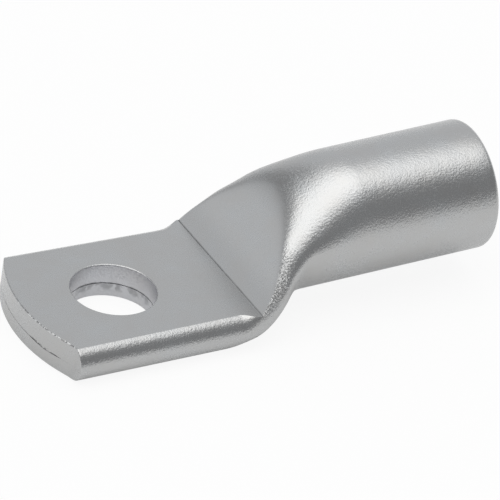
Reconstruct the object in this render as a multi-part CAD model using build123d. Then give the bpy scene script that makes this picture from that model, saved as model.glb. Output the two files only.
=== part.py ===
from build123d import *

"""Tubular cable lug: one piece of round tube, pressed flat at one end and punched with a stud hole.

Units are millimetres. +X runs along the lug from the palm to the open mouth of the barrel and +Z is
up, away from the busbar. The origin is on the underside of the palm, on the axis of the stud hole.
"""
import math
import os

# Tube
barrel_diameter = 19.0
wall = 2.75

# Palm, the flat end: two walls pressed together, wider towards the tip
palm_wall = 2.65
seam_gap = 0.1
palm_width = 27.0
palm_fold_width = 1.9
keel_fold_width = 2.25
fold_edge_turn = 69.0
palm_flare_angle = 1.1
stud_hole_diameter = 13.0
hole_to_tip = 14.6
tip_radius = 25.0
hole_to_bend = 17.5

# Barrel, the round end, raised off the busbar and tilted up a little
hole_to_mouth = 57.4
barrel_lift = 1.27
barrel_tilt = 2.35

# Flat ramp that the punch leaves between palm and barrel, and the facet's outline on it
ramp_angle = 55.0
shoulder_radius = 9.6
facet_length = 8.2
facet_tip = 0.12
bend_fold_width = 0.6
fold_narrows_before_bend = 7.0
bend_edge_turn = 28.0
edge_turns_before_bend = 5.0
edge_fades_from = 1.5
edge_fades_to = 9.0

# Sides and underside, where the palm gathers back into a round tube
side_rises_before_bend = 3.5
side_rises_after_bend = 8.5
keel_narrows_before_bend = 4.0
keel_narrows_after_bend = 7.5
keel_rises_after_bend = 7.0
waist_after_bend = 1.8
waist_angle = 32.0
waist_radius = 5.7

# Edges
mouth_round = 0.8
mouth_round_length = 0.75
mouth_bevels = 3
bore_chamfer = 0.5

# Sections that the shoulder is drawn through, and the least width of their crest
sections_before_bend = 5
sections_after_bend = 12
sections_inside = 8
crest_half = 1.0

barrel_radius = barrel_diameter / 2
bore_radius = barrel_radius - wall
palm_thickness = 2 * palm_wall + seam_gap
flare = math.tan(math.radians(palm_flare_angle))
tilt = math.radians(barrel_tilt)
ramp = math.radians(ramp_angle)
barrel_half_height = barrel_radius / math.cos(tilt)
beyond = 2 * (hole_to_tip + hole_to_mouth)


def ease(x, start, end):
    """0 before start, 1 after end, and a smooth rise between them."""
    share = min(1.0, max(0.0, (x - start) / (end - start)))
    return share * share * (3 - 2 * share)


def axis_height(x):
    """Height of the barrel's axis."""
    return barrel_lift + barrel_half_height + (x - hole_to_bend) * math.tan(tilt)


# The ramp and the barrel's top line meet at a corner, which an arc of shoulder_radius rounds off
ramp_rise = axis_height(hole_to_bend) + barrel_half_height - palm_thickness
corner_x = hole_to_bend + ramp_rise / (math.tan(ramp) - math.tan(tilt))
tangent_length = shoulder_radius * math.tan((ramp - tilt) / 2)
ramp_end = corner_x - tangent_length * math.cos(ramp)
barrel_start = corner_x + tangent_length * math.cos(tilt)


def top_height(x):
    """Height of the top along the middle of the lug: palm, ramp, rounded shoulder, barrel."""
    if x <= hole_to_bend:
        return palm_thickness
    if x <= ramp_end:
        return palm_thickness + (x - hole_to_bend) * math.tan(ramp)
    if x >= barrel_start:
        return axis_height(x) + barrel_half_height
    centre_x = barrel_start + shoulder_radius * math.sin(tilt)
    centre_z = axis_height(barrel_start) + barrel_half_height - shoulder_radius * math.cos(tilt)
    return centre_z + math.sqrt(shoulder_radius**2 - (x - centre_x) ** 2)


def half_width(x):
    """Half of the outline seen from above: flared palm, convex arc, concave arc, barrel."""
    waist_start = hole_to_bend + waist_after_bend
    if x <= waist_start:
        return palm_width / 2 - x * flare
    palm_half = palm_width / 2 - waist_start * flare
    turn = math.radians(waist_angle)
    lower_radius = (palm_half - barrel_radius) / (1 - math.cos(turn)) - waist_radius
    turning_point = waist_start + waist_radius * math.sin(turn)
    waist_end = turning_point + lower_radius * math.sin(turn)
    if x <= turning_point:
        return palm_half - waist_radius + math.sqrt(waist_radius**2 - (x - waist_start) ** 2)
    if x <= waist_end:
        return barrel_radius + lower_radius - math.sqrt(lower_radius**2 - (waist_end - x) ** 2)
    return barrel_radius


def flat_half(x):
    """Half of the width that the punch leaves flat: the palm's face, then the facet on the ramp."""
    narrowing = ease(x, hole_to_bend - fold_narrows_before_bend, hole_to_bend)
    fold = palm_fold_width + (bend_fold_width - palm_fold_width) * narrowing
    if x <= hole_to_bend:
        return half_width(x) - fold
    left = 1 - ((x - hole_to_bend) / facet_length) ** 2
    return (half_width(hole_to_bend) - fold) * (left + math.hypot(left, facet_tip)) / 2


def edge_turn(x):
    """Turn of the side's arc, in degrees from level, at which the flat cuts it off."""
    dip = ease(x, hole_to_bend - edge_turns_before_bend, hole_to_bend)
    recover = ease(x, hole_to_bend + edge_fades_from, hole_to_bend + edge_fades_to)
    return fold_edge_turn + (bend_edge_turn - fold_edge_turn) * dip + (90 - bend_edge_turn) * recover


def side_height(x):
    """Height at which the outline is widest."""
    share = ease(x, hole_to_bend - side_rises_before_bend, hole_to_bend + side_rises_after_bend)
    return palm_thickness / 2 + (axis_height(x) - palm_thickness / 2) * share


def keel_height(x):
    """Height of the underside along the middle of the lug."""
    barrel_bottom = axis_height(x) - barrel_half_height
    return barrel_bottom * ease(x, hole_to_bend, hole_to_bend + keel_rises_after_bend)


def keel_flat_half(x):
    """Half of the width that is flat underneath."""
    start = hole_to_bend - keel_narrows_before_bend
    end = hole_to_bend + keel_narrows_after_bend
    return (half_width(x) - keel_fold_width) * (1 - ease(x, start, end))


def wall_at(x):
    """Thickness of the tube's wall: as pressed in the palm, as drawn in the barrel."""
    return palm_wall + (wall - palm_wall) * ease(x, hole_to_bend, barrel_start)


def draw_side(flat, half, side, rise, turn):
    """Rounded edge on both sides: part of an ellipse from level to turn, where the flat cuts it off."""
    share = math.cos(math.radians(turn))
    centre = (flat - half * share) / (1 - share)
    height = rise / math.sin(math.radians(abs(turn)))
    EllipticalCenterArc((centre, side), half - centre, height, 0, arc_size=turn)
    EllipticalCenterArc((-centre, side), half - centre, height, 180, arc_size=-turn)


def section(x, inset):
    """Section across the lug at x: a top, a bottom and two rounded edges on each side of them."""
    side = side_height(x)
    half = half_width(x) - inset
    scale = half / half_width(x)
    crest = crest_half * scale
    rise = max(top_height(x) - inset / math.cos(tilt) - side, crest)
    fall = side - keel_height(x) - inset / math.cos(tilt)
    with BuildSketch(Plane((x, 0, 0), x_dir=(0, 1, 0), z_dir=(1, 0, 0))) as sketch:
        with BuildLine():
            for flat, height, sign, turn in (
                (flat_half(x) * scale, rise, 1, edge_turn(x)),
                (keel_flat_half(x) * scale, fall, -1, 90),
            ):
                end = side + sign * height
                if flat > crest:
                    Line((-flat, end), (flat, end))
                else:
                    flat = crest
                    turn = math.degrees(math.acos(crest / half))
                    crown = sign * (180 - 2 * turn)
                    EllipticalCenterArc((0, side), half, height, sign * turn, arc_size=crown)
                    height *= math.sin(math.radians(turn))
                draw_side(flat, half, side, height, sign * turn)
        make_face()
    return sketch.sketch.face()


def stations(start, end, count, extra=0):
    """Evenly spaced places from start to end, with extra ones past the end at the same spacing."""
    return [start + (end - start) * step / count for step in range(count + extra + 1)]


def slab(start, end):
    """Block between two places along the lug, larger than the lug in height and width."""
    return Pos((start + end) / 2, 0, 0) * Box(end - start, beyond, beyond)


before_barrel = slab(hole_to_bend, barrel_start)
past_barrel_start = slab(barrel_start, beyond)
mouth = Plane(
    (hole_to_mouth, 0, axis_height(hole_to_mouth)),
    x_dir=(0, 1, 0),
    z_dir=(math.cos(tilt), 0, math.sin(tilt)),
)

# Palm, drawn past the tip that is cut later, then bend and shoulder
bend_start = hole_to_bend - fold_narrows_before_bend
palm_start = -hole_to_tip - wall
tip_corner = tip_radius - hole_to_tip - math.sqrt(tip_radius**2 - palm_width**2 / 4)
palm_stations = (palm_start, tip_corner + wall, bend_start)
palm = loft([section(x, 0) for x in palm_stations], ruled=True)
bend = loft([section(x, 0) for x in stations(bend_start, hole_to_bend, sections_before_bend)])
shoulder_stations = stations(hole_to_bend, barrel_start, sections_after_bend, extra=2)
shoulder = loft([section(x, 0) for x in shoulder_stations])

# Barrel, round about its own axis, with narrow bevels that round the outer rim of the mouth
rim_turns = [step * math.pi / 2 / mouth_bevels for step in range(mouth_bevels + 1)]
rim = [
    (
        barrel_radius - mouth_round * (1 - math.cos(turn)),
        -mouth_round_length * (1 - math.sin(turn)),
    )
    for turn in rim_turns
]
along_axis = Plane(mouth.origin, x_dir=(0, 1, 0), z_dir=(math.sin(tilt), 0, -math.cos(tilt)))
with BuildSketch(along_axis) as barrel_half:
    Polygon((0, 0), (0, -beyond), (barrel_radius, -beyond), *rim, align=None)
barrel = revolve(barrel_half.sketch, Axis(mouth.origin, mouth.z_dir))

# Outside of the lug
lug = palm + bend + (shoulder & before_barrel) + (barrel & past_barrel_start)

# Inside: the bore narrows to a wedge under the ramp, and the wedge runs out into the palm's seam
seam_top = palm_wall + seam_gap
wedge_start = hole_to_bend + (seam_top - palm_thickness + wall / math.cos(ramp)) / math.tan(ramp)
with BuildSketch(Plane.XZ) as under_ramp:
    Polygon(
        (wedge_start, palm_wall),
        (wedge_start, seam_top),
        (wedge_start + beyond, seam_top + beyond * math.tan(ramp)),
        (wedge_start + beyond, palm_wall),
        align=None,
    )
room = extrude(under_ramp.sketch, beyond, both=True)
cavity_stations = stations(hole_to_bend, barrel_start, sections_inside, extra=1)
cavity = loft([section(x, wall_at(x)) for x in cavity_stations])
bore = extrude(mouth * Circle(bore_radius), -beyond / 2)
lug -= (cavity & before_barrel & room) + (bore & past_barrel_start)

# Seam between the two pressed walls of the palm, narrowing to meet the wedge
seam_start_half = half_width(palm_start) - palm_wall
seam_bend_half = half_width(hole_to_bend) - palm_wall
with BuildSketch(Plane.XY.offset(palm_wall)) as seam_plan:
    Polygon(
        (palm_start, seam_start_half),
        (palm_start, -seam_start_half),
        (hole_to_bend, -seam_bend_half),
        (wedge_start + wall, -crest_half),
        (wedge_start + wall, crest_half),
        (hole_to_bend, seam_bend_half),
        align=None,
    )
lug -= extrude(seam_plan.sketch, seam_gap)

# Rounded tip and stud hole
tip_disc = Pos(tip_radius - hole_to_tip, 0, 0) * Cylinder(tip_radius, beyond)
lug -= slab(-beyond, 0) - tip_disc
lug -= Cylinder(stud_hole_diameter / 2, beyond)

# Chamfer round the bore's mouth
inner_rim = lug.faces().sort_by(Axis.X)[-1].edges().sort_by(SortBy.LENGTH)[0]
lug = chamfer(inner_rim, bore_chamfer)

os.makedirs("parts", exist_ok=True)
export_step(lug, "parts/cable_lug.step")
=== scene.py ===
import math
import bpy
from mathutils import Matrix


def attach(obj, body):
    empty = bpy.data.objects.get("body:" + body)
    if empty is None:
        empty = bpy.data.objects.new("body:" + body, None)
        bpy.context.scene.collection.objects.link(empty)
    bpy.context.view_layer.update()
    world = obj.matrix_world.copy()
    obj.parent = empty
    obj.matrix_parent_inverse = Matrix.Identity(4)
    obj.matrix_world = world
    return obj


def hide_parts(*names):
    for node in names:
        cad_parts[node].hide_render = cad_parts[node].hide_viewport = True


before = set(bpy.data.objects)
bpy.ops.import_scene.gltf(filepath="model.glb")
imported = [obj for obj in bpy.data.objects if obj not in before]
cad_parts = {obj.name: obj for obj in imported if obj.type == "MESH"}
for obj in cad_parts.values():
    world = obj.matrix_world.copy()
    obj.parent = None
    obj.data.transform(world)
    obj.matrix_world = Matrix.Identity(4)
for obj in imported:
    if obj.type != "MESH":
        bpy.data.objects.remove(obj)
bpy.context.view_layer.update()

from types import SimpleNamespace

import bmesh
import bpy
import numpy as np
from mathutils import Matrix, Vector

# Sizes are in millimetres and angles in degrees. The stud hole's axis is at x 0, and the
# barrel's mouth is at the far end of x. The near side has y below 0.
MM = 0.001

# Tube, palm and barrel, the same as in the CAD model
BARREL_DIAMETER = 19.0
WALL = 2.75
PALM_WALL = 2.65
SEAM_GAP = 0.1
PALM_WIDTH = 27.0
PALM_FLARE_ANGLE = 1.1
STUD_HOLE_DIAMETER = 13.0
HOLE_TO_TIP = 14.6
TIP_RADIUS = 25.0
HOLE_TO_BEND = 17.5
HOLE_TO_MOUTH = 57.4
BARREL_LIFT = 1.27
BARREL_TILT = 2.35
RAMP_ANGLE = 55.0
MOUTH_ROUND = 0.8
BORE_CHAMFER = 0.5

# Folds along the palm's sides, above and below
PALM_FOLD_WIDTH = 1.9
KEEL_FOLD_WIDTH = 2.7
EDGE_ROUND_PALM = 0.645
FOLD_NARROWS_BEFORE_BEND = 3.1
EDGE_TURNS_BEFORE_BEND = 0.6

# Crown over the step, that the punch's ramp cuts into
CROWN_AT_BEND = 11.85
CROWN_ANGLE = 32.0
CROWN_LENGTH = 18.4
CREST_SHIFT = 1.85
CREST_AT = 8.2
CORNER_AT_BEND = 0.15
CORNER_AT_TOP = 1.3
CORNER_GROWS_AFTER_BEND = 8.0
CORNER_FADES_AFTER_BEND = 11.0
CREASE_DEPTH = 0.03
CREASE_HALF = 0.08

# Sides and keel of the step
WAIST_AFTER_BEND = -0.8
WAIST_ANGLE = 37.0
WAIST_RADIUS = 10.0
SIDE_RISES_BEFORE_BEND = 3.4
SIDE_RISES_AFTER_BEND = 9.6
SIDE_POWER = 1.6
KEEL_NARROWS_BEFORE_BEND = 6.0
KEEL_NARROWS_AFTER_BEND = 3.0
KEEL_POWER = 1.8
KEEL_RISES_BEFORE_BEND = 1.0
KEEL_RISES_AFTER_BEND = 3.0

# Fullness of the far side beside the facet, as shares of y and places after the bend
FAR_FULLNESS = 0.05
FAR_SWELL = 0.8
FAR_STARTS = (-5.0, 2.5)
FAR_SWELLS = (2.0, 6.0)
FAR_FADES = (7.0, 14.0)

# Tip: rounded edge, squared near corner, and the seam that opens like a lens on the near side
TIP_ROUND = 0.25
TIP_CORNER = 12.0
TIP_CORNER_SOFTNESS = 0.3
TIP_CORNER_SIDE = -5.0
TIP_BENDS_UP_TO = -7.0
SEAM_HEIGHT = 2.25
SEAM_CRACK = 0.03
SEAM_CLOSED_CRACK = 0.004
SEAM_CLOSES_FROM = 7.5
SEAM_CLOSES_OVER = 2.5
LENS_CENTRE = -5.9
LENS_HALF = 3.1
LENS_OPENING = 0.2

# Steps from inside the seam to the tip's face: depth behind the face, and share of the opening
SEAM_STEPS = ((0.24, 0.0), (0.2, 0.6), (0.1, 0.9), (0.0, 1.0))
FACE_SHARES = (0.1, 0.3, 0.5, 0.7, 0.9)

# Stud hole: rounded rims, and a groove where the two walls meet
HOLE_RIM = 0.22
HOLE_GROOVE_DEPTH = 0.25
HOLE_GROOVE_HALF = 0.07
PUNCH_OVERSHOOT = 1.0

BARREL_RADIUS = BARREL_DIAMETER / 2
BORE_RADIUS = BARREL_RADIUS - WALL
PALM_THICKNESS = 2 * PALM_WALL + SEAM_GAP
MIDDLE = PALM_THICKNESS / 2
FLARE = math.tan(math.radians(PALM_FLARE_ANGLE))
TILT = math.radians(BARREL_TILT)
RAMP = math.radians(RAMP_ANGLE)
BARREL_HALF_HEIGHT = BARREL_RADIUS / math.cos(TILT)
BARREL_START = HOLE_TO_BEND + CROWN_LENGTH
WEDGE_START = HOLE_TO_BEND + (WALL / math.cos(RAMP) - PALM_WALL) / math.tan(RAMP)

# Mesh density
SIDE_POINTS = 28
TOP_POINTS = 56
RING_POINTS = 2 * (2 * SIDE_POINTS + TOP_POINTS)
ROUND_STEPS = 6
TIP_RINGS = 13
PALM_RINGS = 24
BEND_RINGS = 30
BEND_RINGS_BEFORE = 7.0
FACET_RINGS = 60
SHOULDER_RINGS = 24
BARREL_RINGS = 14
WEDGE_RINGS = 32
RIM_STEPS = 8
HOLE_SIDES = 128
SHARP_ANGLE = 13.0
ARC_SAMPLES = 40
SIDE_SAMPLES = 60
PRESSED_SAMPLES = 240
LEAST_RISE = 0.2
BARREL_LEAN_LENGTH = 6.0

# Turn of a section's side up to which its points are spread over the turn, in degrees
FREE_TURN_PALM = 90.0
FREE_TURN_BARREL = 45.0
FREE_TURN_FALLS_AFTER_BEND = 3.0
FREE_TURN_SHARE = 0.9

# Distances under which points are joined, in metres
JOIN_DISTANCE = 2e-7
SLIVER_DISTANCE = 1e-7


def ease(x, start, end):
    """Smooth rise from 0 at start to 1 at end."""
    share = min(1.0, max(0.0, (x - start) / (end - start)))
    return share * share * (3 - 2 * share)


def ease_after_bend(x, places):
    return ease(x, HOLE_TO_BEND + places[0], HOLE_TO_BEND + places[1])


def axis_height(x):
    return BARREL_LIFT + BARREL_HALF_HEIGHT + (x - HOLE_TO_BEND) * math.tan(TILT)


def ramp_height(x):
    """Height of the pressed faces: the palm up to the crease at the bend, then the ramp."""
    crease = CREASE_DEPTH * max(0.0, 1 - abs(x - HOLE_TO_BEND) / CREASE_HALF)
    return PALM_THICKNESS - crease + max(0.0, x - HOLE_TO_BEND) * math.tan(RAMP)


def crown_height(x):
    """Height that the top would have without the punch's ramp."""
    if x >= BARREL_START:
        return axis_height(x) + BARREL_HALF_HEIGHT
    share = max(0.0, (x - HOLE_TO_BEND) / CROWN_LENGTH)
    high = axis_height(BARREL_START) + BARREL_HALF_HEIGHT
    rise = ease(x, HOLE_TO_BEND, BARREL_START)
    leave = CROWN_LENGTH * math.tan(math.radians(CROWN_ANGLE)) * share * (1 - share) ** 2
    arrive = CROWN_LENGTH * math.tan(TILT) * share**2 * (1 - share)
    return CROWN_AT_BEND + (high - CROWN_AT_BEND) * rise + leave - arrive


def palm_half_width(x):
    return PALM_WIDTH / 2 - x * FLARE


def half_width(x):
    """Half the width: the palm, a convex and a concave arc, then the barrel."""
    waist_start = HOLE_TO_BEND + WAIST_AFTER_BEND
    if x <= waist_start:
        return palm_half_width(x)
    palm_half = palm_half_width(waist_start)
    turn = math.radians(WAIST_ANGLE)
    lower_radius = (palm_half - BARREL_RADIUS) / (1 - math.cos(turn)) - WAIST_RADIUS
    turning_point = waist_start + WAIST_RADIUS * math.sin(turn)
    waist_end = turning_point + lower_radius * math.sin(turn)
    if x <= turning_point:
        return palm_half - WAIST_RADIUS + math.sqrt(WAIST_RADIUS**2 - (x - waist_start) ** 2)
    if x <= waist_end:
        return BARREL_RADIUS + lower_radius - math.sqrt(lower_radius**2 - (waist_end - x) ** 2)
    return BARREL_RADIUS


def flat_half(x):
    """Half the width of the pressed flat: the palm's face up to the bend, the facet there."""
    if x < HOLE_TO_BEND:
        fold_at_bend = half_width(HOLE_TO_BEND) - flat_half(HOLE_TO_BEND)
        narrowing = ease(x, HOLE_TO_BEND - FOLD_NARROWS_BEFORE_BEND, HOLE_TO_BEND)
        return half_width(x) - PALM_FOLD_WIDTH - (fold_at_bend - PALM_FOLD_WIDTH) * narrowing
    side = side_height(x)
    cut = min(1.0, (ramp_height(x) - side) / (crown_height(x) - side))
    return half_width(x) * math.sqrt(1 - cut**2)


def crest_shift(x):
    """How far the top lies beyond the lug's middle."""
    peak = HOLE_TO_BEND + CREST_AT
    return CREST_SHIFT * ease(x, HOLE_TO_BEND, peak) * (1 - ease(x, peak, BARREL_START))


def far_bulge(x):
    """Share by which the far side is fuller beside the facet."""
    swell = 1 + FAR_SWELL * ease_after_bend(x, FAR_SWELLS)
    fade = 1 - ease_after_bend(x, FAR_FADES)
    return FAR_FULLNESS * ease_after_bend(x, FAR_STARTS) * swell * fade


def edge_turn(x, share):
    """Turn of the palm's side arc, from level outwards, at which the pressed flat cuts it off."""
    start = HOLE_TO_BEND - EDGE_TURNS_BEFORE_BEND
    roundness = EDGE_ROUND_PALM * (1 - ease(x, start, HOLE_TO_BEND))
    plain = math.acos(share)
    return plain + (math.pi / 2 - plain) * roundness


def side_height(x):
    """Height at which the lug is widest."""
    places = (-SIDE_RISES_BEFORE_BEND, SIDE_RISES_AFTER_BEND)
    return MIDDLE + (axis_height(x) - MIDDLE) * ease_after_bend(x, places) ** SIDE_POWER


def keel_height(x):
    places = (-KEEL_RISES_BEFORE_BEND, KEEL_RISES_AFTER_BEND)
    return (axis_height(x) - BARREL_HALF_HEIGHT) * ease_after_bend(x, places)


def keel_flat_half(x):
    places = (-KEEL_NARROWS_BEFORE_BEND, KEEL_NARROWS_AFTER_BEND)
    return (half_width(x) - KEEL_FOLD_WIDTH) * (1 - ease_after_bend(x, places) ** KEEL_POWER)


def lower_half_ring(flat, half, depth):
    """Lower half of a section, from one side under the keel to the other."""
    turn = np.linspace(0, math.pi / 2, ARC_SAMPLES)
    y = flat + (half - flat) * np.cos(turn)
    z = depth * np.sin(turn)
    across = np.linspace(flat, -flat, ARC_SAMPLES)
    y = np.concatenate([y, across, -y[::-1]])
    z = np.concatenate([z, np.full(len(across), depth), z[::-1]])
    # points lie closer together where the outline turns
    steps = np.hypot(np.diff(y), np.diff(z))
    heading = np.unwrap(np.arctan2(np.diff(z), np.diff(y)))
    turning = np.abs(np.diff(heading, prepend=heading[0]))
    weights = steps / steps.sum() + turning / max(turning.sum(), 1e-9)
    measure = np.concatenate([[0], np.cumsum(weights)])
    wanted = np.linspace(0, measure[-1], RING_POINTS // 2 + 1)
    return np.interp(wanted, measure, y), np.interp(wanted, measure, z)


def spread_points(y, z, y_low, z_low):
    """Whole upper half from a side's arc: its low points as given, the rest evenly spaced."""
    y = np.concatenate([y, -y[::-1]])
    z = np.concatenate([z, z[::-1]])
    measure = np.concatenate([[0], np.cumsum(np.hypot(np.diff(y), np.diff(z)))])
    wanted = np.linspace(0, measure[-1], TOP_POINTS + 1)
    y_top = np.interp(wanted, measure, y)
    z_top = np.interp(wanted, measure, z)
    y = np.concatenate([y_low[:-1], y_top, -y_low[:-1][::-1]])
    z = np.concatenate([z_low[:-1], z_top, z_low[:-1][::-1]])
    return y, z


def upper_half_ring(flat, half, rise, edge, free):
    """Upper half of a section, from one side over the top to the other.

    The side is part of an ellipse, from level to the turn edge, where the flat cuts it off.
    Up to the turn free its points are spread evenly over the turn, and past it over the length.
    """
    centre = (flat - half * math.cos(edge)) / (1 - math.cos(edge))
    height = rise / math.sin(edge)
    free = min(free, edge)
    low = np.linspace(0, free, SIDE_POINTS + 1)
    high = np.linspace(free, edge, SIDE_SAMPLES)
    arc_y, low_y = (centre + (half - centre) * np.cos(turn) for turn in (high, low))
    return spread_points(arc_y, height * np.sin(high), low_y, height * np.sin(low))


def pressed_half_ring(half, crown, ramp, soft, free, shift):
    """Upper half of a section whose arc the ramp cuts, with its top shifted sideways.

    The corner between the arc and the ramp is rounded over about the height soft.
    """
    free = min(free, FREE_TURN_SHARE * math.asin(min(1.0, ramp / crown)))

    def pressed(turn):
        z = crown * np.sin(turn)
        lowered = (z + ramp - np.hypot(z - ramp, soft)) / 2
        return lowered - (ramp - math.hypot(ramp, soft)) / 2 * (1 - np.sin(turn))

    low = np.linspace(0, free, SIDE_POINTS + 1)
    high = np.linspace(free, math.pi / 2, PRESSED_SAMPLES)
    y, z = spread_points(half * np.cos(high), pressed(high), half * np.cos(low), pressed(low))
    return y + shift * (z / crown) ** 2, z


def ring(x, inset=0.0):
    """Closed section across the lug at x, from one side over the top to the other and back."""
    side = side_height(x)
    half = half_width(x) - inset
    scale = half / half_width(x)
    thin = inset / math.cos(TILT)
    least = LEAST_RISE * scale
    fall = ease(x, HOLE_TO_BEND + FREE_TURN_FALLS_AFTER_BEND, BARREL_START)
    free = math.radians(FREE_TURN_PALM + (FREE_TURN_BARREL - FREE_TURN_PALM) * fall)
    if x <= HOLE_TO_BEND:
        share = flat_half(x) / half_width(x)
        rise = max(ramp_height(x) - thin - side, least)
        y_up, z_up = upper_half_ring(share * half, half, rise, edge_turn(x, share), free)
    else:
        crown = crown_height(x) - thin - side
        ramp = max(ramp_height(x) - thin - side, least)
        growth = ease_after_bend(x, (0, CORNER_GROWS_AFTER_BEND))
        soft = CORNER_AT_BEND + (CORNER_AT_TOP - CORNER_AT_BEND) * growth
        soft *= 1 - ease(x, HOLE_TO_BEND + CORNER_FADES_AFTER_BEND, BARREL_START)
        y_up, z_up = pressed_half_ring(half, crown, ramp, soft, free, crest_shift(x) * scale)
    depth = side - keel_height(x) - thin
    y_down, z_down = lower_half_ring(keel_flat_half(x) * scale, half, depth)
    y = np.concatenate([y_up[:-1], -y_down[:-1]])
    z = np.concatenate([side + z_up[:-1], side - z_down[:-1]])
    y = np.where(y > 0, y * (1 + far_bulge(x)), y)
    return np.stack([np.full(len(y), float(x)), y, z], 1)


def barrel_ring(x, radius):
    """Circle square to the barrel's axis, whose point on the axis is at x."""
    y_up, z_up = upper_half_ring(0.0, radius, radius, math.pi / 2, math.pi / 4)
    y_down, z_down = lower_half_ring(0.0, radius, radius)
    y = np.concatenate([y_up[:-1], -y_down[:-1]])
    up = np.concatenate([z_up[:-1], -z_down[:-1]])
    return np.stack([x - up * math.sin(TILT), y, axis_height(x) + up * math.cos(TILT)], 1)


def barrel_blend(x, thickness):
    """Section at x that goes over into the barrel's circle just behind the shoulder."""
    lean = ease(x, BARREL_START, BARREL_START + BARREL_LEAN_LENGTH)
    return ring(x, thickness) * (1 - lean) + barrel_ring(x, BARREL_RADIUS - thickness) * lean


def tip_x(y):
    """Tip's arc, squared at the near fold."""
    arc = TIP_RADIUS - HOLE_TO_TIP - np.sqrt(TIP_RADIUS**2 - y**2)
    squared = (arc - TIP_CORNER - np.hypot(arc + TIP_CORNER, TIP_CORNER_SOFTNESS)) / 2
    return np.where(y < TIP_CORNER_SIDE, squared, arc)


def palm_ring(share, inset=0.0):
    """Section of the palm bent to follow the rounded tip at share 0 and straight at share 1."""
    straight = ring(TIP_BENDS_UP_TO)
    points = straight.copy()
    # the tip's arc and the palm's flare depend on each other, so they settle in a few rounds
    for _ in range(3):
        x = tip_x(points[:, 1]) * (1 - share) + TIP_BENDS_UP_TO * share
        points[:, 1] = straight[:, 1] * palm_half_width(x) / palm_half_width(TIP_BENDS_UP_TO)
    if inset:
        core = PALM_WIDTH / 2 - MIDDLE
        towards = np.stack([np.clip(points[:, 1], -core, core), np.full(len(x), MIDDLE)], 1)
        offset = towards - points[:, 1:]
        offset /= np.linalg.norm(offset, axis=1)[:, None]
        points[:, 1:] += offset * inset
    points[:, 0] = x
    return points


def tip_rings():
    """Rings from inside the seam over the tip's face and its rounded edge to the straight palm."""
    face = palm_ring(0.0, TIP_ROUND)
    lens = np.clip(1 - ((face[:, 1] - LENS_CENTRE) / LENS_HALF) ** 2, 0, 1)
    closed = np.clip((np.abs(face[:, 1]) - SEAM_CLOSES_FROM) / SEAM_CLOSES_OVER, 0, 1)
    crack = SEAM_CRACK + (SEAM_CLOSED_CRACK - SEAM_CRACK) * closed
    gap = np.minimum(crack + LENS_OPENING * lens, np.abs(face[:, 2] - MIDDLE) / 2)
    sign = np.sign(face[:, 2] - MIDDLE)
    result = []
    for depth, open_share in SEAM_STEPS:
        seam = face.copy()
        seam[:, 0] += depth
        seam[:, 2] = SEAM_HEIGHT + sign * gap * open_share
        result.append(seam)
    for share in FACE_SHARES:
        flat = face.copy()
        flat[:, 2] = (SEAM_HEIGHT + sign * gap) * (1 - share) + face[:, 2] * share
        result.append(flat)
    for step in range(ROUND_STEPS + 1):
        turn = math.pi / 2 * (1 - step / ROUND_STEPS)
        rounded = palm_ring(0.0, TIP_ROUND * (1 - math.cos(turn)))
        rounded[:, 0] += TIP_ROUND * (1 - math.sin(turn))
        result.append(rounded)
    for share in np.linspace(0, 1, TIP_RINGS)[1:-1]:
        result.append(palm_ring(share))
    return result


def step_rings():
    """Rings of the straight palm, the bend, the facet and the shoulder up to the barrel."""
    fine_start = HOLE_TO_BEND - BEND_RINGS_BEFORE
    facet_end = HOLE_TO_BEND + CROWN_LENGTH / 2
    places = np.concatenate([
        np.linspace(TIP_BENDS_UP_TO, fine_start, PALM_RINGS)[:-1],
        np.linspace(fine_start, HOLE_TO_BEND - CREASE_HALF, BEND_RINGS),
        [HOLE_TO_BEND],
        np.linspace(HOLE_TO_BEND + CREASE_HALF, facet_end, FACET_RINGS)[:-1],
        np.linspace(facet_end, BARREL_START, SHOULDER_RINGS)[:-1],
    ])
    return [ring(x) for x in places]


def barrel_rings():
    """Rings of the barrel's outside and its rounded rim."""
    rim_start = HOLE_TO_MOUTH - MOUTH_ROUND * math.cos(TILT)
    places = np.linspace(BARREL_START, rim_start, BARREL_RINGS)[:-1]
    result = [barrel_blend(x, 0.0) for x in places]
    for step in range(ROUND_STEPS + 1):
        turn = math.pi / 2 * step / ROUND_STEPS
        x = rim_start + MOUTH_ROUND * math.sin(turn) * math.cos(TILT)
        result.append(barrel_ring(x, BARREL_RADIUS - MOUTH_ROUND * (1 - math.cos(turn))))
    return result


def bore_rings():
    """Rings of the bore's chamfer, the bore, and the wedge that it narrows to under the ramp."""
    bore_start = HOLE_TO_MOUTH - BORE_CHAMFER
    result = [barrel_ring(HOLE_TO_MOUTH, BORE_RADIUS + BORE_CHAMFER)]
    result.append(barrel_ring(bore_start, BORE_RADIUS))
    for x in np.linspace(bore_start, BARREL_START, BARREL_RINGS)[1:]:
        result.append(barrel_blend(x, WALL))
    for x in np.linspace(BARREL_START, WEDGE_START, WEDGE_RINGS)[1:]:
        wall = PALM_WALL + (WALL - PALM_WALL) * ease(x, HOLE_TO_BEND, BARREL_START)
        inside = ring(x, wall)
        roof = PALM_WALL + SEAM_GAP + (x - WEDGE_START) * math.tan(RAMP)
        inside[:, 2] = np.clip(inside[:, 2], PALM_WALL, max(roof, PALM_WALL + 0.01))
        result.append(inside)
    return result


def new_object(name, verts, faces):
    mesh = bpy.data.meshes.new(name)
    mesh.from_pydata([tuple(v) for v in verts], [], faces)
    mesh.update()
    made = bpy.data.objects.new(name, mesh)
    bpy.context.scene.collection.objects.link(made)
    return made


def wall_faces(rows, count):
    """Quads between neighbouring rows of count points each."""
    faces = []
    for row in range(rows - 1):
        a = row * count
        b = a + count
        for i in range(count):
            j = (i + 1) % count
            faces.append((a + i, a + j, b + j, b + i))
    return faces


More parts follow.
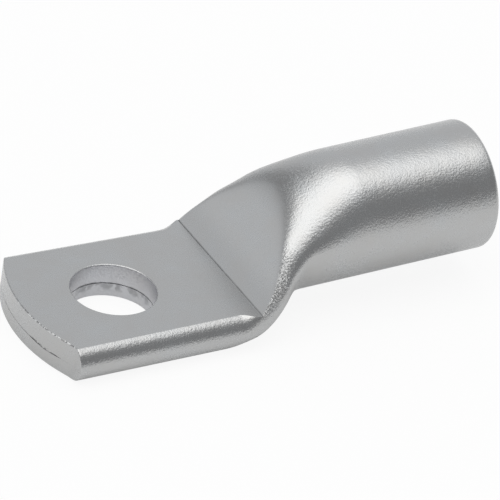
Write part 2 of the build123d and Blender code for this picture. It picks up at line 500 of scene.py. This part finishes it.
def lug_skin():
    """The lug without its stud hole: one closed skin through all rings."""
    loops = tip_rings() + step_rings() + barrel_rings() + bore_rings()
    verts = np.concatenate(loops) * MM
    faces = wall_faces(len(loops), RING_POINTS)
    # the two ends close like a zip: upper points meet the lower points under them
    for start in (0, (len(loops) - 1) * RING_POINTS):
        for i in range(RING_POINTS // 2):
            upper, upper_next = start + i, start + i + 1
            lower = start + (RING_POINTS - i) % RING_POINTS
            lower_next = start + (RING_POINTS - i - 1) % RING_POINTS
            faces.append((upper, upper_next, lower_next, lower))
    skin = new_object("lug", verts, faces)
    work = bmesh.new()
    work.from_mesh(skin.data)
    bmesh.ops.remove_doubles(work, verts=work.verts, dist=JOIN_DISTANCE)
    bmesh.ops.dissolve_degenerate(work, dist=SLIVER_DISTANCE, edges=work.edges)
    bmesh.ops.recalc_face_normals(work, faces=work.faces)
    work.to_mesh(skin.data)
    work.free()
    return skin


def hole_cutter():
    """Punch of the stud hole, flared at both ends so that the hole's rims come out rounded."""
    rim_radius = STUD_HOLE_DIAMETER / 2
    radius = rim_radius - HOLE_RIM
    rounding = []
    for step in range(1, RIM_STEPS + 1):
        turn = math.pi / 2 * step / RIM_STEPS
        reach = radius + HOLE_RIM * (1 - math.sin(turn))
        rounding.append((reach, HOLE_RIM * (1 - math.cos(turn))))
    groove = [
        (radius, SEAM_HEIGHT - HOLE_GROOVE_HALF),
        (radius + HOLE_GROOVE_DEPTH, SEAM_HEIGHT),
        (radius, SEAM_HEIGHT + HOLE_GROOVE_HALF),
    ]
    profile = [(rim_radius, -PUNCH_OVERSHOOT), (rim_radius, 0.0)] + rounding + groove
    profile += [(r, PALM_THICKNESS - z) for r, z in rounding[::-1]]
    profile += [(rim_radius, PALM_THICKNESS), (rim_radius, PALM_THICKNESS + PUNCH_OVERSHOOT)]
    verts = []
    for r, z in profile:
        for k in range(HOLE_SIDES):
            turn = 2 * math.pi * k / HOLE_SIDES
            verts.append((r * math.cos(turn) * MM, r * math.sin(turn) * MM, z * MM))
    faces = wall_faces(len(profile), HOLE_SIDES)
    faces.append(tuple(range(HOLE_SIDES))[::-1])
    faces.append(tuple((len(profile) - 1) * HOLE_SIDES + k for k in range(HOLE_SIDES)))
    return new_object("punch", verts, faces)


def punched_lug():
    """The lug's skin with the stud hole cut, smooth except at its sharp edges."""
    lug = lug_skin()
    punch = hole_cutter()
    cut = lug.modifiers.new("hole", "BOOLEAN")
    cut.operation = "DIFFERENCE"
    cut.solver = "EXACT"
    cut.object = punch
    graph = bpy.context.evaluated_depsgraph_get()
    done = bpy.data.meshes.new_from_object(lug.evaluated_get(graph))
    lug.modifiers.clear()
    lug.data = done
    bpy.data.objects.remove(punch)
    for polygon in lug.data.polygons:
        polygon.use_smooth = True
    lug.data.set_sharp_from_angle(angle=math.radians(SHARP_ANGLE))
    return lug


class Graph:
    """Adds nodes to one node tree. A value is a number or another node's output."""

    def __init__(self, tree):
        self.nodes = tree.nodes
        self.links = tree.links

    def put(self, socket, value):
        if isinstance(value, bpy.types.NodeSocket):
            self.links.new(value, socket)
        else:
            socket.default_value = value

    def calc(self, operation, *values):
        made = self.nodes.new("ShaderNodeMath")
        made.operation = operation
        for place, value in enumerate(values):
            self.put(made.inputs[place], value)
        return made.outputs[0]

    def product(self, first, *others):
        for other in others:
            first = self.calc("MULTIPLY", first, other)
        return first

    def step(self, value, low, high):
        """Smooth rise from 0 at low to 1 at high."""
        made = self.nodes.new("ShaderNodeMapRange")
        made.interpolation_type = "SMOOTHSTEP"
        self.put(made.inputs["Value"], value)
        made.inputs["From Min"].default_value = low
        made.inputs["From Max"].default_value = high
        return made.outputs["Result"]

    def blend(self, share, first, second):
        """Value that goes from first to second with share."""
        return self.calc("MULTIPLY_ADD", self.calc("SUBTRACT", second, first), share, first)

    def dot(self, vector, direction):
        made = self.nodes.new("ShaderNodeVectorMath")
        made.operation = "DOT_PRODUCT"
        self.put(made.inputs[0], vector)
        made.inputs[1].default_value = direction
        return made.outputs["Value"]

    def noise(self, place, size, detail):
        made = self.nodes.new("ShaderNodeTexNoise")
        self.put(made.inputs["Vector"], place)
        made.inputs["Scale"].default_value = 1 / (size * MM)
        made.inputs["Detail"].default_value = detail
        made.inputs["Roughness"].default_value = NOISE_ROUGHNESS
        return made.outputs[0]

    def bump(self, depth, height, normal=None):
        made = self.nodes.new("ShaderNodeBump")
        made.inputs["Strength"].default_value = 1.0
        made.inputs["Distance"].default_value = depth * MM
        self.put(made.inputs["Height"], height)
        if normal:
            self.put(made.inputs["Normal"], normal)
        return made.outputs[0]

    def split(self, vector):
        made = self.nodes.new("ShaderNodeSeparateXYZ")
        self.put(made.inputs[0], vector)
        return tuple(made.outputs)

    def join(self, *values):
        made = self.nodes.new("ShaderNodeCombineXYZ")
        for place, value in enumerate(values):
            self.put(made.inputs[place], value)
        return made.outputs[0]

    def mix_shaders(self, share, first, second):
        made = self.nodes.new("ShaderNodeMixShader")
        for place, value in enumerate((share, first, second)):
            self.links.new(value, made.inputs[place])
        return made.outputs[0]


# Tin plate: sizes of its grains and depths of its relief in millimetres
GRAIN_SIZE = 0.3
COARSE_SIZE = 1.6
PATCH_SIZE = 5.0
PIT_SIZE = 0.5
GRAIN_DEPTH = 0.05
SWELL_DEPTH = 0.03

# Levels of the noises between which flecks, painted burr glints, pits and torn patches come out
FLECK_LEVELS = (0.42, 0.60)
BURR_GLINT_LEVELS = (0.4, 0.62)
PIT_LEVELS = (0.74, 0.80)
TORN_LEVELS = (0.42, 0.6)
NOISE_ROUGHNESS = 0.6

# Shares of the relief on the pressed flats, and of the grain on the ridge beside the facet
FLAT_GRAIN = 0.06
FLAT_SWELL = 0.15
RIDGE_GRAIN = 3.5

ROUGHNESS = 0.21
ROUGHNESS_SPREAD = 0.10
HOLE_ROUGHNESS = 0.40
TONE = 0.475
TONE_SPREAD = 0.05
TINT_SPREAD = 0.05
RED_SHARE = 0.995
HOLE_BLUE_SHARE = 1.03

# Where each part of the surface starts and ends, as places in millimetres
PALM_ENDS = (HOLE_TO_BEND + 0.1, HOLE_TO_BEND - 0.1)
FACET_ENDS = (30.0, 27.0)
HOLE_WALL = (6.7, 6.6)
RIDGE_STARTS = (17.3, 17.7)
RIDGE_ENDS = (24.2, 21.5)
RIDGE_SIDE = (-1.0, -4.0)
# Painted shade along the crease at the bend: how far from the bend and how far below the palm's top it
# fades out
CREASE_SHADE_LINE = (0.13, 0.04)
CREASE_SHADE_BELOW_TOP = (0.3, 0.15)
# Painted shade on the palm, darker towards the crease and towards the near side
PALM_SHADE_STARTS = (12.0, 17.5)
PALM_SHADE_SIDE = (3.0, -9.0)
# Facet made lighter between these heights
FACET_BAND_FROM = (6.5, 10.0)
FACET_BAND_UP_TO = (16.5, 13.5)
TORN_FROM = (0.6, 1.6)
TORN_UP_TO = (2.6, 2.35)
# Tip's top edge, where burr glints and darker specks are painted
TIP_EDGE_STARTS = (-9.0, -10.0)
TIP_EDGE_FAR_END = (4.0, -2.0)
TIP_EDGE_NEAR_END = (-12.0, -11.0)

# How much a face looks up, or out of the ramp, where a part of the surface starts and ends
PRESSED_FACING = (0.96, 0.995)
HOLE_WALL_FACING = (0.9, 0.6)
RIDGE_OUTER_FACING = (0.12, 0.40)
RIDGE_INNER_FACING = (0.985, 0.95)
TIP_EDGE_LOWER_FACING = (0.25, 0.45)
TIP_EDGE_UPPER_FACING = (0.97, 0.85)

# Tones of the parts of the surface, as shares of the plain tone
PIT_TONE = 0.8
# Painted shade on the palm towards the crease
PALM_SHADE_TONE = 0.88
# Lighter band on the facet
FACET_BAND_TONE = 1.10
HOLE_TONE = 1.24
TORN_TONE = 0.80
FLECK_TONES = (0.68, 1.35)
# Painted burr glints and darker specks on the tip's edge
BURR_GLINT_TONES = (0.6, 1.6)
# Painted shade in the crease
CREASE_SHADE_TONES = (0.42, 0.92)


def tin_masks(graph):
    """Masks, from 0 to 1, of the parts of the surface that differ, and the noises on it."""
    place = graph.nodes.new("ShaderNodeTexCoord").outputs["Object"]
    x, y, z = (graph.calc("DIVIDE", part, MM) for part in graph.split(place))
    normal = graph.nodes.new("ShaderNodeNewGeometry").outputs["Normal"]
    upward = graph.dot(normal, (0, 0, 1))
    ramp_facing = graph.dot(normal, (-math.sin(RAMP), 0, math.cos(RAMP)))

    def within(value, start, end):
        return graph.product(graph.step(value, *start), graph.step(value, *end))

    palm = graph.product(graph.step(upward, *PRESSED_FACING), graph.step(x, *PALM_ENDS))
    facet = graph.product(graph.step(ramp_facing, *PRESSED_FACING), graph.step(x, *FACET_ENDS))
    from_axis = graph.calc("SQRT", graph.calc("ADD", graph.product(x, x), graph.product(y, y)))
    in_hole = graph.product(graph.step(from_axis, *HOLE_WALL), graph.step(upward, *HOLE_WALL_FACING))
    ridge = graph.product(
        within(ramp_facing, RIDGE_OUTER_FACING, RIDGE_INNER_FACING),
        within(x, RIDGE_STARTS, RIDGE_ENDS),
        graph.step(y, *RIDGE_SIDE),
    )
    # Painted shade along the crease at the bend, close below the palm's top
    from_crease = graph.calc("ABSOLUTE", graph.calc("SUBTRACT", x, HOLE_TO_BEND))
    crease_low, crease_high = (PALM_THICKNESS - below for below in CREASE_SHADE_BELOW_TOP)
    crease = graph.product(graph.step(from_crease, *CREASE_SHADE_LINE), graph.step(z, crease_low, crease_high))
    # Painted shade on the palm towards the crease and the near side
    palm_shade = graph.product(palm, graph.step(x, *PALM_SHADE_STARTS), graph.step(y, *PALM_SHADE_SIDE))
    coarse = graph.noise(place, COARSE_SIZE, 2.0)
    torn = graph.product(
        in_hole,
        within(z, TORN_FROM, TORN_UP_TO),
        graph.step(coarse, *TORN_LEVELS),
    )
    # Tip's top edge, where burr glints are painted
    tip_edge = graph.product(
        graph.step(x, *TIP_EDGE_STARTS),
        within(upward, TIP_EDGE_LOWER_FACING, TIP_EDGE_UPPER_FACING),
        within(y, TIP_EDGE_FAR_END, TIP_EDGE_NEAR_END),
    )
    return SimpleNamespace(
        flat=graph.calc("MAXIMUM", palm, facet),
        in_hole=in_hole,
        ridge=ridge,
        crease=crease,
        palm_shade=palm_shade,
        # Facet made lighter between two heights
        facet_band=graph.product(facet, within(z, FACET_BAND_FROM, FACET_BAND_UP_TO)),
        torn=torn,
        tip_edge=tip_edge,
        grain=graph.noise(place, GRAIN_SIZE, 3.0),
        coarse=coarse,
        patches=graph.noise(place, PATCH_SIZE, 4.0),
        pits=graph.noise(place, PIT_SIZE, 2.0),
    )


def tin_relief(graph, masks):
    """Fine grain over a coarser swell, nearly pressed away on the flats and torn on the ridge."""
    share = graph.blend(masks.flat, 1.0, FLAT_GRAIN)
    share = graph.calc("ADD", share, graph.product(masks.ridge, RIDGE_GRAIN))
    grain = graph.bump(GRAIN_DEPTH, graph.product(masks.grain, share))
    swell = graph.product(masks.coarse, graph.blend(masks.flat, 1.0, FLAT_SWELL))
    return graph.bump(SWELL_DEPTH, swell, grain)


def tin_roughness(graph, masks):
    rough = graph.calc("MULTIPLY_ADD", masks.patches, ROUGHNESS_SPREAD, ROUGHNESS)
    off_middle = graph.calc("SUBTRACT", masks.grain, 0.5)
    rough = graph.calc("MULTIPLY_ADD", off_middle, ROUGHNESS_SPREAD, rough)
    return graph.blend(masks.in_hole, rough, HOLE_ROUGHNESS)


def tin_colour(graph, masks):
    """Grey tone with pits and flecks, painted shade in the crease and on the palm towards it, a lighter
    band on the facet, and painted burr glints with darker specks.
    """
    flecks = graph.blend(graph.step(masks.grain, *FLECK_LEVELS), *FLECK_TONES)
    # Painted burr glints, with darker specks between them
    burr_glints = graph.blend(graph.step(masks.pits, *BURR_GLINT_LEVELS), *BURR_GLINT_TONES)
    # Painted shade in the crease, mottled by the coarse noise
    crease = graph.blend(masks.coarse, *CREASE_SHADE_TONES)
    hole = graph.blend(masks.torn, HOLE_TONE, TORN_TONE)
    tone = graph.product(
        graph.calc("MULTIPLY_ADD", masks.patches, TONE_SPREAD, TONE),
        graph.blend(graph.step(masks.pits, *PIT_LEVELS), 1.0, PIT_TONE),
        graph.blend(masks.crease, 1.0, crease),
        # Painted shade on the palm towards the crease
        graph.blend(masks.palm_shade, 1.0, PALM_SHADE_TONE),
        # Lighter band on the facet
        graph.blend(masks.facet_band, 1.0, FACET_BAND_TONE),
        graph.blend(masks.ridge, 1.0, flecks),
        graph.blend(masks.in_hole, 1.0, hole),
        graph.blend(masks.tip_edge, 1.0, burr_glints),
    )
    cast = graph.calc("SUBTRACT", masks.patches, 0.5)
    red = graph.calc("MULTIPLY_ADD", cast, -TINT_SPREAD, RED_SHARE)
    plain_blue = graph.blend(masks.in_hole, 1.0, HOLE_BLUE_SHARE)
    blue = graph.calc("MULTIPLY_ADD", cast, TINT_SPREAD, plain_blue)
    return graph.join(graph.product(tone, red), tone, graph.product(tone, blue))


def tin_plate():
    """Tin plate: smooth where the punch pressed it flat, with a fine grain elsewhere."""
    material = bpy.data.materials.new("tin_plate")
    material.use_nodes = True
    graph = Graph(material.node_tree)
    shader = graph.nodes["Principled BSDF"]
    masks = tin_masks(graph)
    shader.inputs["Metallic"].default_value = 1.0
    graph.put(shader.inputs["Normal"], tin_relief(graph, masks))
    graph.put(shader.inputs["Roughness"], tin_roughness(graph, masks))
    graph.put(shader.inputs["Base Color"], tin_colour(graph, masks))
    return material


lug = punched_lug()
lug.data.materials.clear()
lug.data.materials.append(tin_plate())
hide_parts("cable_lug")
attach(lug, "root")

# Camera, at the photograph's angle. Its distance is in metres.
VIEW_AZIMUTH = math.radians(-33.505)
VIEW_ELEVATION = math.radians(33.061)
VIEW_ROLL = math.radians(8.999)
VIEW_DISTANCE = 1.092
PIXELS = 500
PIXELS_PER_METRE = 7021.6
ORIGIN_PIXEL = (108.92, 320.72)
SENSOR = 36.0


def new_camera():
    toward = Vector((
        math.sin(VIEW_AZIMUTH) * math.cos(VIEW_ELEVATION),
        -math.cos(VIEW_AZIMUTH) * math.cos(VIEW_ELEVATION),
        math.sin(VIEW_ELEVATION),
    ))
    level = Vector((math.cos(VIEW_AZIMUTH), math.sin(VIEW_AZIMUTH), 0))
    upright = toward.cross(level)
    right = level * math.cos(VIEW_ROLL) + upright * math.sin(VIEW_ROLL)
    up = upright * math.cos(VIEW_ROLL) - level * math.sin(VIEW_ROLL)
    data = bpy.data.cameras.new("camera")
    data.sensor_width = SENSOR
    data.lens = PIXELS_PER_METRE * VIEW_DISTANCE * SENSOR / PIXELS
    data.clip_start = 0.01
    data.clip_end = 50
    made = bpy.data.objects.new("camera", data)
    bpy.context.scene.collection.objects.link(made)
    across_view = (PIXELS / 2 - ORIGIN_PIXEL[0]) / PIXELS_PER_METRE
    up_view = (ORIGIN_PIXEL[1] - PIXELS / 2) / PIXELS_PER_METRE
    place = toward * VIEW_DISTANCE + right * across_view + up * up_view
    turned = Matrix((right, up, toward)).transposed().to_4x4()
    made.matrix_world = Matrix.Translation(place) @ turned
    return made


bpy.context.scene.camera = new_camera()

# Floor. Its half length is in metres, and it lies a hair below the lug in millimetres.
FLOOR_REACH = 1.5
FLOOR_GAP = 0.02
FLOOR_COLOUR = (0.95, 0.95, 0.95, 1)
FLOOR_ROUGHNESS = 0.9
WHITE = (1, 1, 1, 1)

# How much of the floor's look is plain white, seen directly and mirrored in the metal
FLOOR_WHITE_SEEN = 0.9
FLOOR_WHITE_MIRRORED = 0.3


def floor_white():
    """White floor that keeps the lug's soft shadow."""
    material = bpy.data.materials.new("floor_white")
    material.use_nodes = True
    graph = Graph(material.node_tree)
    shader = graph.nodes["Principled BSDF"]
    shader.inputs["Base Color"].default_value = FLOOR_COLOUR
    shader.inputs["Roughness"].default_value = FLOOR_ROUGHNESS
    glow = graph.nodes.new("ShaderNodeEmission")
    glow.inputs["Color"].default_value = WHITE
    glow.inputs["Strength"].default_value = 1.0
    rays = graph.nodes.new("ShaderNodeLightPath")
    seen = graph.product(rays.outputs["Is Camera Ray"], FLOOR_WHITE_SEEN)
    mirrored = rays.outputs["Is Glossy Ray"]
    share = graph.calc("MULTIPLY_ADD", mirrored, FLOOR_WHITE_MIRRORED, seen)
    mixed = graph.mix_shaders(share, shader.outputs[0], glow.outputs[0])
    graph.put(graph.nodes["Material Output"].inputs[0], mixed)
    return material


corners = [(-1, -1, 0), (1, -1, 0), (1, 1, 0), (-1, 1, 0)]
floor = new_object("floor", [Vector(c) * FLOOR_REACH for c in corners], [(0, 1, 2, 3)])
floor.location.z = -FLOOR_GAP * MM
floor.data.materials.append(floor_white())

# Studio around the lug: light walls, dimmer in front, with two dim patches behind on the
# left, and a soft box overhead. Levels are light strengths, and patches are (direction,
# inner and outer angle, level). The box is placed and sized as if on a ceiling at height 1.
FRONT_WALL = 0.40
BACK_WALL = 0.95
WALL_TURNS = (-0.25, 0.3)
DIM_PATCHES = (
    ((-0.30, 0.86, 0.41), 3, 17, 0.50),
    ((-0.42, 0.62, 0.66), 4, 23, 0.36),
)
BOX_CENTRE = (-0.18, -0.10)
BOX_HALF = (0.85, 0.55)
BOX_EDGE = (1.3, 0.7)
BOX_LEVEL = 2.35
LEAST_HEIGHT = 0.15
WALL_COLOUR = (0.785, 0.797, 0.812)
BOX_COLOUR = (0.80, 0.797, 0.788)


def dim_patch(graph, direction, centre, inner, outer):
    """Share of a round patch of the studio: 1 inside the inner angle, 0 past the outer one."""
    nearness = graph.dot(direction, Vector(centre).normalized())
    return graph.step(nearness, math.cos(math.radians(outer)), math.cos(math.radians(inner)))


def soft_box(graph, east, north, height):
    """Share of the soft box, an ellipse on the ceiling with a soft edge."""
    steep = graph.calc("MAXIMUM", height, LEAST_HEIGHT)
    squares = []
    for part, centre, half in zip((east, north), BOX_CENTRE, BOX_HALF):
        off = graph.calc("SUBTRACT", graph.calc("DIVIDE", part, steep), centre)
        share = graph.calc("DIVIDE", off, half)
        squares.append(graph.product(share, share))
    return graph.step(graph.calc("SQRT", graph.calc("ADD", *squares)), *BOX_EDGE)


def new_studio():
    """World that lights the lug as the studio does and shows plain white to the camera."""
    world = bpy.data.worlds.new("studio")
    world.use_nodes = True
    graph = Graph(world.node_tree)
    graph.nodes.clear()
    direction = graph.nodes.new("ShaderNodeTexCoord").outputs["Generated"]
    east, north, height = graph.split(direction)
    level = graph.blend(graph.step(north, *WALL_TURNS), FRONT_WALL, BACK_WALL)
    for centre, inner, outer, dim in DIM_PATCHES:
        level = graph.blend(dim_patch(graph, direction, centre, inner, outer), level, dim)
    box = soft_box(graph, east, north, height)
    colour = (graph.blend(box, *pair) for pair in zip(WALL_COLOUR, BOX_COLOUR))
    light = graph.nodes.new("ShaderNodeBackground")
    graph.put(light.inputs["Color"], graph.join(*colour))
    graph.put(light.inputs["Strength"], graph.blend(box, level, BOX_LEVEL))
    plain = graph.nodes.new("ShaderNodeBackground")
    plain.inputs["Color"].default_value = WHITE
    plain.inputs["Strength"].default_value = 1.0
    rays = graph.nodes.new("ShaderNodeLightPath")
    seen = rays.outputs["Is Camera Ray"]
    end = graph.nodes.new("ShaderNodeOutputWorld")
    mixed = graph.mix_shaders(seen, light.outputs[0], plain.outputs[0])
    graph.put(end.inputs["Surface"], mixed)
    return world


bpy.context.scene.world = new_studio()
bpy.context.scene.view_settings.view_transform = "Standard"
